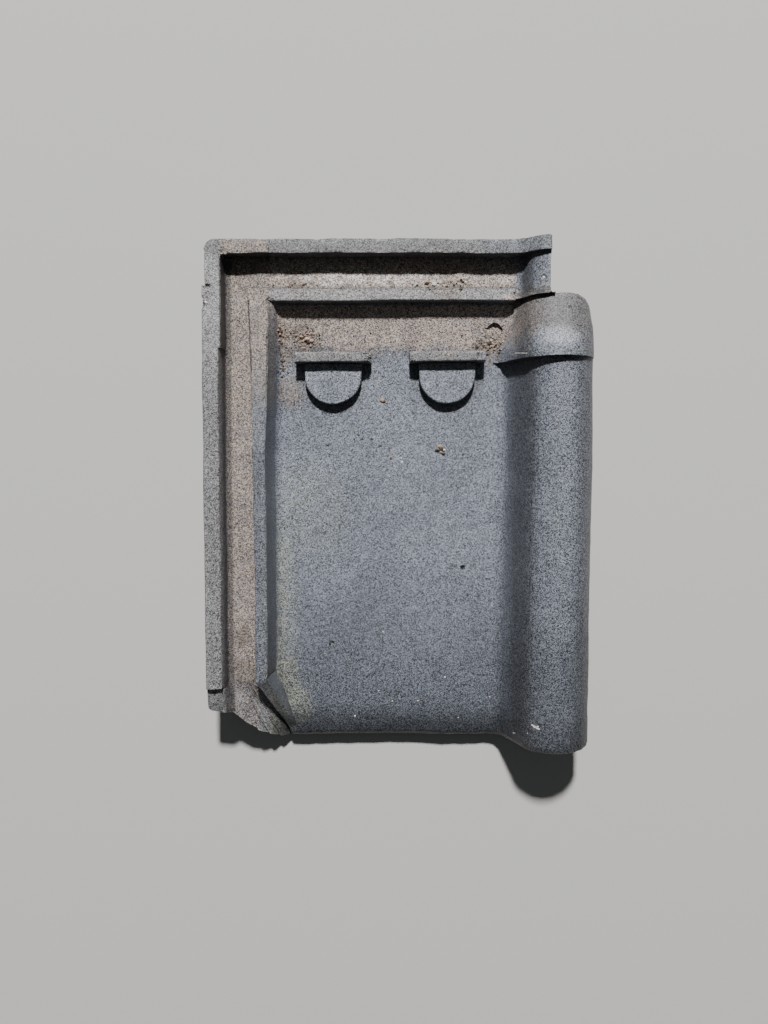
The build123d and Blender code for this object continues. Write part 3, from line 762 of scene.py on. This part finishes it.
def clay_colour(t, place, facing, fine, state):
    """The clay's blue-grey tone under what has settled on it and worn off it, in that order, with painted
    shade and a painted highlight laid in among them.
    """
    edge = t.node("ShaderNodeAttribute", attribute_name="worn_edge").outputs["Fac"]
    hollow = t.node("ShaderNodeAttribute", attribute_name="hollow").outputs["Fac"]
    clouds = t.ramp(t.noise(place, 34.0, detail=5.0, roughness=0.6), 0.3, 0.7)
    flecks = t.ramp(t.noise(place, 420.0, detail=5.0, roughness=0.8), 0.5, 0.72)
    dust_tone = t.mix(t.noise(place, 75.0, detail=4.0, roughness=0.6), DEEP_DUST, LIGHT_DUST)
    dirt_tone = t.mix(t.noise(place, 520.0, detail=4.0, roughness=0.75), DEEP_DIRT, LIGHT_DIRT)
    broken = t.ramp(t.noise(place, 260.0, detail=4.0, roughness=0.7), 0.42, 0.62)
    broken = t.product(broken, t.ramp(t.parts(facing)[2], 0.1, 0.5, 0.0, 0.5))
    colour = t.mix(clouds, DEEP_CLAY, LIGHT_CLAY)
    colour = t.over(colour, FLECK, flecks, 0.4)
    colour = t.over(colour, GREY_CLAY, state["Grey"], 0.8)
    colour = t.over(colour, MOSS, state["Moss"], 0.65)
    colour = t.over(colour, BLEACHED_CLAY, state["Bleached"], 0.65)
    colour = t.over(colour, dust_tone, state["Dust"], 0.92)
    colour = t.over(colour, dirt_tone, state["Dirt"], 0.6)
    colour = t.over(colour, PALE_DUST, state["Pale Dust"])
    # Darker where the surface bends inwards
    colour = t.over(colour, HOLLOW_DARK, hollow, 0.5)
    colour = t.over(colour, BROKEN_CLAY, edge, broken)
    # Darker clay, and painted shade on steep and hidden faces
    colour = t.over(colour, SOOT_AND_SHADE_BLACK, state["Soot And Shade"])
    colour = t.over(colour, CREST_CLAY, state["Crest"], 0.6)
    # The painted highlight on the dome
    colour = t.over(colour, HIGHLIGHT_CLAY, state["Painted Highlight"], 0.55)
    speck = t.math("ADD", SPECK_MEAN, t.product(fine["Specks"], SPECK_SHARE))
    light = t.product(t.largest(speck, SPECK_LEAST), t.math("SUBTRACT", 1.0, state["Shade"]))
    colour = t.over(t.scaled(colour, light), PORE_BLACK, fine["Pores"], 0.75)
    # Pits painted black for the shade inside them, and dark specks
    colour = t.over(colour, PIT_BLACK, state["Pits"])
    return t.over(colour, CHALK_WHITE, state["Chalk"])


def new_material(name):
    material = bpy.data.materials.new(name)
    material.use_nodes = True
    return material, Tree(material.node_tree), material.node_tree.nodes["Principled BSDF"]


def clay_material():
    grain, weather_and_light = grain_group(), weather_and_light_group(patch_group(), line_group())
    material, t, shader = new_material("fired_clay")
    place = t.node("ShaderNodeTexCoord").outputs["Object"]
    facing = t.node("ShaderNodeNewGeometry").outputs["Normal"]
    fine = t.use(grain, Place=place, Size=GRAIN_SIZE)
    state = t.use(weather_and_light, Place=place, Facing=facing)
    t.feed(shader.inputs["Base Color"], clay_colour(t, place, facing, fine, state))
    rough = t.math("ADD", 0.43, t.product(state["Dust"], 0.4))
    rough = t.math("ADD", rough, t.product(fine["Specks"], 0.08), clamp=True)
    t.feed(shader.inputs["Roughness"], rough)
    shader.inputs["Specular IOR Level"].default_value = 0.5
    bump = t.node("ShaderNodeBump")
    bump.inputs["Strength"].default_value = 0.8
    bump.inputs["Distance"].default_value = GRAIN_HEIGHT
    t.feed(bump.inputs["Height"], t.math("ADD", fine["Height"], t.product(state["Dirt"], 0.8)))
    t.feed(shader.inputs["Normal"], bump.outputs["Normal"])
    return material


def crumb_material(name, dark, pale):
    material, t, shader = new_material(name)
    place = t.node("ShaderNodeTexCoord").outputs["Object"]
    t.feed(shader.inputs["Base Color"], t.mix(t.noise(place, 500.0), dark, pale))
    shader.inputs["Roughness"].default_value = 0.9
    return material


CRUMB_TONES = [
    ("tan_crumb", (0.2, 0.13, 0.08, 1), (0.5, 0.36, 0.24, 1)),
    ("pink_crumb", (0.36, 0.2, 0.15, 1), (0.62, 0.42, 0.34, 1)),
    # This dark tone serves both for dark crumbs and for painted shadow under a crumb
    ("dark_crumb_and_painted_shadow", (0.015, 0.012, 0.01, 1), (0.1, 0.07, 0.05, 1)),
    ("pale_crumb", (0.5, 0.46, 0.38, 1), (0.8, 0.76, 0.68, 1)),
]
# Where crumbs lie: middle, half widths, how many, smallest and largest radius, shares of the tones
CRUMB_FIELDS = [
    ((28.0, 128.5), (17.0, 3.0), 46, (0.35, 1.0), (5, 1, 5, 1)),
    ((-58.0, 128.6), (9.0, 3.0), 18, (0.3, 0.8), (4, 1, 4, 1)),
    ((0.0, 128.0), (100.0, 4.0), 50, (0.25, 0.6), (4, 1, 5, 1)),
    ((-58.0, 98.5), (11.0, 5.0), 90, (0.3, 0.85), (2, 3, 8, 0)),
    ((-72.5, 100.0), (3.5, 9.0), 40, (0.35, 1.1), (3, 1, 6, 0)),
    ((-71.0, 82.0), (4.5, 14.0), 34, (0.3, 0.8), (3, 1, 6, 1)),
    ((-66.0, 60.0), (9.0, 16.0), 26, (0.25, 0.5), (3, 1, 4, 1)),
    ((59.5, 94.5), (15.0, 5.0), 120, (0.3, 0.85), (4, 1, 7, 1)),
    ((59.1, 101.5), (6.0, 4.5), 40, (0.3, 0.7), (4, 1, 6, 0)),
    ((-30.0, 52.0), (22.0, 18.0), 24, (0.2, 0.42), (1, 1, 5, 0)),
    ((0.0, 98.0), (60.0, 12.0), 40, (0.22, 0.5), (4, 1, 4, 1)),
    ((-95.0, 60.0), (5.0, 80.0), 44, (0.22, 0.5), (4, 1, 5, 0)),
]
# Single crumbs: place from above, radius, tone
SINGLE_CRUMBS = [
    # A raised clod; its dark crumbs are painted shadow under it
    ((29.1, 30.0), 1.0, 3),
    ((26.2, 32.2), 1.3, 0),
    ((27.2, 30.4), 1.3, 2),
    ((24.6, 29.9), 1.3, 2),
    ((28.6, 27.6), 1.2, 2),
    ((26.8, 28.8), 0.9, 0),
    # A tan crumb, with a dark crumb below it that is painted shadow
    ((-4.1, 25.6), 0.8, 0),
    ((-4.4, 24.4), 0.7, 2),
    ((-9.9, 60.8), 1.2, 0),
    ((-8.4, 59.9), 0.8, 2),
    ((-56.0, 97.6), 1.6, 1),
    ((-53.4, 96.8), 1.2, 1),
    ((-59.6, 99.0), 1.0, 0),
    ((-55.0, 95.8), 1.0, 2),
    ((-10.8, 32.5), 0.6, 2),
    ((-8.8, 19.7), 0.6, 2),
    ((-27.1, 36.6), 0.6, 2),
    ((14.8, -81.4), 0.45, 3),
    ((-28.6, -96.2), 0.35, 3),
    ((-12.0, -122.3), 0.4, 3),
    ((-3.3, -129.0), 0.4, 3),
    ((12.8, -128.7), 0.45, 3),
    ((38.5, -139.5), 0.35, 3),
    ((58.5, -126.3), 0.45, 3),
    ((59.5, -67.7), 0.4, 3),
    ((17.0, 129.2), 1.6, 0),
    ((21.5, 128.4), 1.3, 3),
    ((-44.0, 33.0), 0.7, 2),
    ((-22.0, 40.5), 0.6, 2),
    ((-26.5, 42.0), 0.5, 0),
]
# Crumbs are looked for from this height, and stay only where the surface is level enough
DROP_HEIGHT = 200.0 * MM
LEVEL_ENOUGH = 0.5
# How far a crumb's middle stands above the surface, as a share of its radius
CRUMB_LIFT = 0.25
CRUMB_BUMPS = 0.35
# Least and greatest stretch along x, y and z, and how far apart in the noise two crumbs' bumps may be
CRUMB_STRETCH = ((0.8, 1.5), (0.7, 1.1), (0.5, 0.8))
CRUMB_SPIN = 9

# Dirt in the nail dimple: its middle, its radius just inside the wall, the rim's height and the rim's slope
FILL_PLACE = mm(59.1, 102.7, 0.0)
FILL_RADIUS = 4.42 * MM
DIMPLE_RIM = 26.6 * MM
RIM_SLOPE = 0.27
LEAST_DEPTH = 0.25 * MM
# Depth of the dirt in mm: in the middle, how much more at the back, and its waves
MIDDLE_DEPTH = 1.7
BACK_DEPTH = 1.6
FILL_WAVE = (700, 0.7)


def crumb(mesh, tree, x, y, radius, tone):
    """A small broken grain that lies on the tile, partly sunk in the dust."""
    hit, normal, _, _ = tree.ray_cast(Vector((x, y, DROP_HEIGHT)), Vector((0, 0, -1)))
    if hit is None or normal.z < LEVEL_ENOUGH:
        return
    made = bmesh.ops.create_icosphere(mesh, subdivisions=1, radius=radius)
    centre = hit + Vector((0, 0, radius * CRUMB_LIFT))
    stretch = Vector([chance.uniform(*limits) for limits in CRUMB_STRETCH])
    spin = Vector([chance.uniform(-CRUMB_SPIN, CRUMB_SPIN) for _ in range(3)])
    for vert in made["verts"]:
        bump = 1 + CRUMB_BUMPS * noise.noise(vert.co / radius + spin)
        form = Vector([s * c * bump for s, c in zip(stretch, vert.co)])
        form.rotate(Vector((0, 0, 1)).rotation_difference(normal))
        vert.co = centre + form
    for face in {f for vert in made["verts"] for f in vert.link_faces}:
        face.material_index = tone
        face.smooth = False


def crumbs(tree):
    """Crumbs of clay and dirt that lie about in fields and one by one; some dark ones are painted shadow
    beneath a crumb.
    """
    mesh = bmesh.new()
    for (x, y), (wide, deep), count, (small, large), shares in CRUMB_FIELDS:
        for _ in range(count):
            place_x = chance.gauss(x, wide / 2)
            place_y = chance.gauss(y, deep / 2)
            radius = small + (large - small) * chance.random() ** 2
            tone = chance.choices(range(len(CRUMB_TONES)), weights=shares)[0]
            crumb(mesh, tree, place_x * MM, place_y * MM, radius * MM, tone)
    for (x, y), radius, tone in SINGLE_CRUMBS:
        crumb(mesh, tree, x * MM, y * MM, radius * MM, tone)
    keep_in_box(mesh)
    obj = new_object("crumbs", mesh)
    for tone in CRUMB_TONES:
        obj.data.materials.append(crumb_material(*tone))
    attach(obj, "root")


def dimple_fill(clay):
    """Dirt that fills the nail dimple, level with its rim at the front and lower at the back."""
    mesh = bmesh.new()
    bmesh.ops.create_circle(mesh, cap_ends=True, segments=28, radius=FILL_RADIUS)
    bmesh.ops.poke(mesh, faces=mesh.faces)
    bmesh.ops.subdivide_edges(mesh, edges=mesh.edges[:], cuts=3, use_grid_fill=True)
    for vert in mesh.verts:
        back = vert.co.y / FILL_RADIUS
        wave = FILL_WAVE[1] * noise.noise(vert.co * FILL_WAVE[0])
        depth = (MIDDLE_DEPTH + BACK_DEPTH * back + wave) * MM
        vert.co = vert.co + FILL_PLACE
        vert.co.z = DIMPLE_RIM + (vert.co.y - FILL_PLACE.y) * RIM_SLOPE - max(LEAST_DEPTH, depth)
    obj = new_object("dimple_fill", mesh)
    obj.data.materials.append(clay)
    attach(obj, "root")


def nadir_camera():
    """The camera looks almost straight down, with the head of the tile at the top of the picture."""
    data = bpy.data.cameras.new("camera")
    data.sensor_width = 36.0
    data.lens = 27.07
    camera = bpy.data.objects.new("camera", data)
    camera.location = mm(-8.63, -1.21, 500.0)
    camera.rotation_euler = (radians(-0.9), 0, 0)
    bpy.context.collection.objects.link(camera)
    bpy.context.scene.camera = camera


def floor():
    mesh = bmesh.new()
    bmesh.ops.create_grid(mesh, x_segments=1, y_segments=1, size=3.0)
    obj = new_object("floor", mesh)
    material, _, shader = new_material("pale_floor")
    shader.inputs["Base Color"].default_value = (0.46, 0.45, 0.43, 1)
    shader.inputs["Roughness"].default_value = 0.9
    obj.data.materials.append(material)


def key_light():
    """A small far light beyond the head, which casts the photograph's hard shadows towards the front."""
    data = bpy.data.lights.new("key", "AREA")
    data.size = 0.42
    data.energy = 720
    lamp = bpy.data.objects.new("key", data)
    lamp.location = (0.0, 4.0, 4.2)
    to_tile = Vector((0, 0, 0)) - lamp.location
    lamp.rotation_euler = to_tile.to_track_quat("-Z", "Y").to_euler()
    bpy.context.collection.objects.link(lamp)


def sky():
    """A weak, slightly blue light from all sides."""
    world = bpy.data.worlds.new("room")
    world.use_nodes = True
    background = world.node_tree.nodes["Background"]
    background.inputs["Color"].default_value = (0.9, 0.95, 1.0, 1)
    background.inputs["Strength"].default_value = 0.085
    bpy.context.scene.world = world


tile, surface = worn_tile()
fired_clay = clay_material()
tile.data.materials.append(fired_clay)
crumbs(surface)
dimple_fill(fired_clay)
nadir_camera()
floor()
key_light()
sky()
